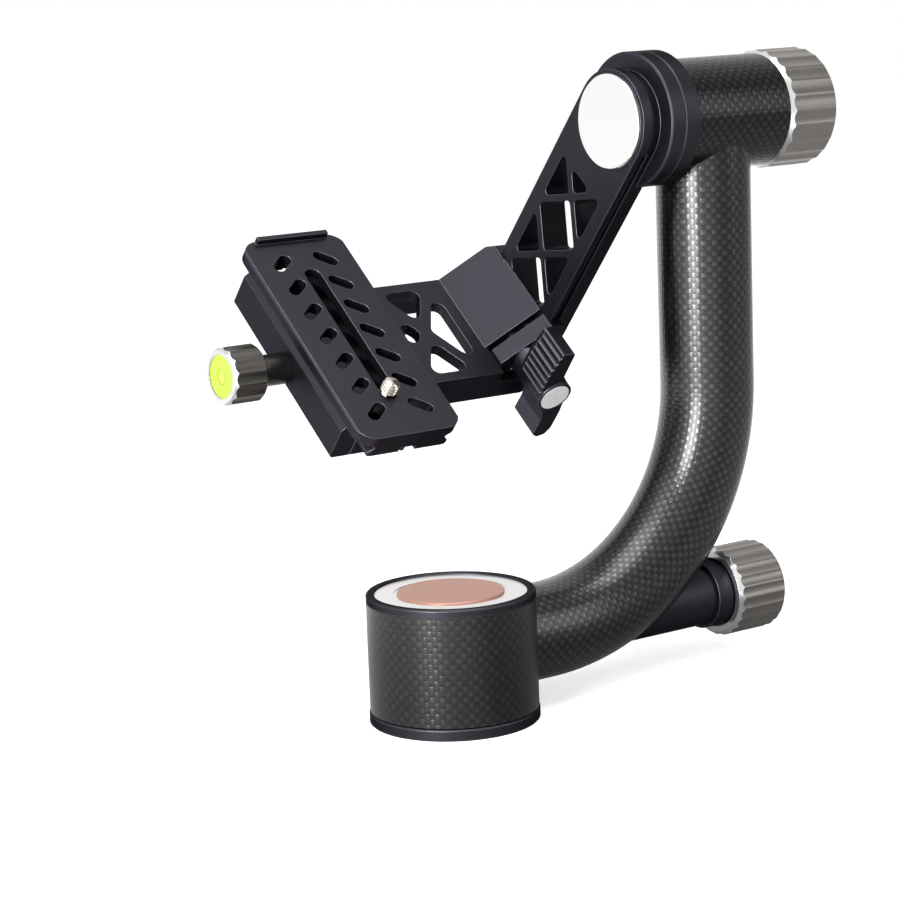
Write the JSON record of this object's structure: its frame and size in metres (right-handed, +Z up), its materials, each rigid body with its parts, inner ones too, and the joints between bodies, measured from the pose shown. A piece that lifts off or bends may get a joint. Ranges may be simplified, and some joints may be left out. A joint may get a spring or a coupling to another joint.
{
  "type": "gimbal tripod head",
  "caption": "Tripod head with a turning base, a bent tube arm, a tilting leg and a sliding platform whose dovetail clamp holds a camera plate.",
  "frame": {"origin": "on the turning axis at the underside of the foot, where the tripod's stud enters", "axes": "+Z up along the turning axis, +X along the arm's stub, away from the base; the tilt axis is parallel to X"},
  "size_m": [0.2152, 0.1351, 0.2296],
  "materials": {
    "carbon": "woven carbon fibre under a clear coat",
    "black_metal": "black anodised, satin",
    "grey_metal": "gunmetal anodised, satin",
    "silver_metal": "bright machined",
    "copper_metal": "copper coloured, satin",
    "steel": "ground",
    "brass": "turned",
    "polished": "mirror polish",
    "screw_metal": "turned",
    "black_steel": "black oxide",
    "brake_lining": "matt",
    "level_fluid": "clear yellow-green",
    "level_bubble": "clear"
  },
  "bodies": {
    "base": {"foot": "black_metal", "thread_insert": "steel", "brake_drum": "steel", "pan_inner_races": "steel", "spindle_washer": "steel", "spindle_nut": "steel"},
    "pan_ball_set": {"pan_balls": "polished"},
    "arm": {"pan_outer_races": "steel", "base_core": "black_metal", "base_skin": "carbon", "base_lip": "black_metal", "top_disc": "silver_metal", "disc_screws": "black_steel", "medallion": "copper_metal", "arm_tube": "carbon", "lock_tube": "black_metal", "lock_collar": "black_metal", "lock_nut": "brass", "housing_core": "black_metal", "housing_skin": "carbon", "bearing_retainer": "black_metal", "tilt_outer_races": "steel", "end_plug": "black_metal"},
    "shoe": {"pan_shoe": "brake_lining"},
    "pan_lock": {"lock_rod": "steel", "pan_knob": "grey_metal"},
    "tilt_ball_set": {"tilt_balls": "polished"},
    "tilt_brake": {"friction_washer": "brake_lining", "pressure_disc": "steel"},
    "tilt_lock": {"tilt_stud": "steel", "tilt_knob": "grey_metal"},
    "swing": {"tilt_inner_races": "steel", "tilt_shaft": "steel", "shaft_nut": "steel", "swing_leg": "black_metal", "leg_bolt": "black_steel", "leg_dowels": "steel", "leg_cap": "polished", "leg_stop": "black_steel"},
    "carriage": {"platform": "black_metal", "bracket_pins": "black_steel", "clamp_base": "black_metal", "clamp_bolts": "black_steel", "clamp_pins": "steel"},
    "leg_jaw": {"bracket_jaw": "black_metal"},
    "t_lever": {"t_screw": "black_steel", "t_knob": "black_metal", "t_cap": "silver_metal"},
    "plate_jaw": {"clamp_jaw": "black_metal"},
    "clamp_lock": {"clamp_screw": "steel", "clamp_knob": "grey_metal", "level_vial": "level_fluid", "level_bubble": "level_bubble"},
    "camera_plate": {"plate": "black_metal", "plate_stops": "black_steel"},
    "screw_carrier": {"screw_clip": "black_steel"},
    "screw": {"camera_screw": "screw_metal"}
  },
  "joints": [
    {"name": "pan", "type": "hinge", "parent": "base", "child": "arm", "pos_m": [0, 0, 0], "axis": [0, 0, 1], "continuous": true},
    {"name": "pan_ball_turn", "type": "hinge", "parent": "base", "child": "pan_ball_set", "pos_m": [0, 0, 0], "axis": [0, 0, 1], "continuous": true},
    {"name": "tilt", "type": "hinge", "parent": "arm", "child": "swing", "pos_m": [0, 0, 0.20515], "axis": [1, 0, 0], "continuous": true},
    {"name": "tilt_ball_turn", "type": "hinge", "parent": "arm", "child": "tilt_ball_set", "pos_m": [0, 0, 0.20515], "axis": [1, 0, 0], "continuous": true},
    {"name": "carriage_height", "type": "slide", "parent": "swing", "child": "carriage", "axis": [0, -0.6414, 0.7672], "range_m": [0, 0.055]},
    {"name": "leg_jaw_slide", "type": "slide", "parent": "carriage", "child": "leg_jaw", "axis": [0, -0.7672, -0.6414], "range_m": [0, 0.0025]},
    {"name": "t_lever_turn", "type": "hinge", "parent": "leg_jaw", "child": "t_lever", "pos_m": [0.0713, 0.02923, 0.10315], "axis": [0, -0.7672, -0.6414], "range_deg": [0, 720.5]},
    {"name": "plate_jaw_slide", "type": "slide", "parent": "carriage", "child": "plate_jaw", "axis": [-1, 0, 0], "range_m": [0, 0.004]},
    {"name": "clamp_lock_turn", "type": "hinge", "parent": "plate_jaw", "child": "clamp_lock", "pos_m": [-0.03, 0.07075, 0.12053], "axis": [-1, 0, 0], "range_deg": [0, 720.5]},
    {"name": "plate_slide", "type": "slide", "parent": "carriage", "child": "camera_plate", "axis": [0, -0.7672, -0.6414], "range_m": [-0.0082, 0.0032]},
    {"name": "screw_slide", "type": "slide", "parent": "camera_plate", "child": "screw_carrier", "axis": [0, 0.7672, 0.6414], "range_m": [0, 0.0593]},
    {"name": "screw_turn", "type": "hinge", "parent": "screw_carrier", "child": "screw", "pos_m": [0.0009, 0.03382, 0.11481], "axis": [0, 0.6414, -0.7672], "continuous": true},
    {"name": "shoe_slide", "type": "slide", "parent": "arm", "child": "shoe", "axis": [1, 0, 0], "range_m": [0, 0.0015]},
    {"name": "pan_lock_turn", "type": "hinge", "parent": "shoe", "child": "pan_lock", "pos_m": [0, 0, 0.0251], "axis": [1, 0, 0], "range_deg": [0, 432.5]},
    {"name": "tilt_brake_slide", "type": "slide", "parent": "arm", "child": "tilt_brake", "axis": [1, 0, 0], "range_m": [0, 0.0009]},
    {"name": "tilt_lock_turn", "type": "hinge", "parent": "tilt_brake", "child": "tilt_lock", "pos_m": [0.15, 0, 0.20515], "axis": [1, 0, 0], "range_deg": [0, 259.5]}
  ],
  "couplings": [
    {"joint": "pan_ball_turn", "follows": "pan", "ratio": 0.591},
    {"joint": "tilt_ball_turn", "follows": "tilt", "ratio": 0.425},
    {"joint": "t_lever_turn", "follows": "leg_jaw_slide", "rad_per_m": 5026.5},
    {"joint": "clamp_lock_turn", "follows": "plate_jaw_slide", "rad_per_m": 3141.5},
    {"joint": "pan_lock_turn", "follows": "shoe_slide", "rad_per_m": 5026.5},
    {"joint": "tilt_lock_turn", "follows": "tilt_brake_slide", "rad_per_m": 5026.5}
  ]
}
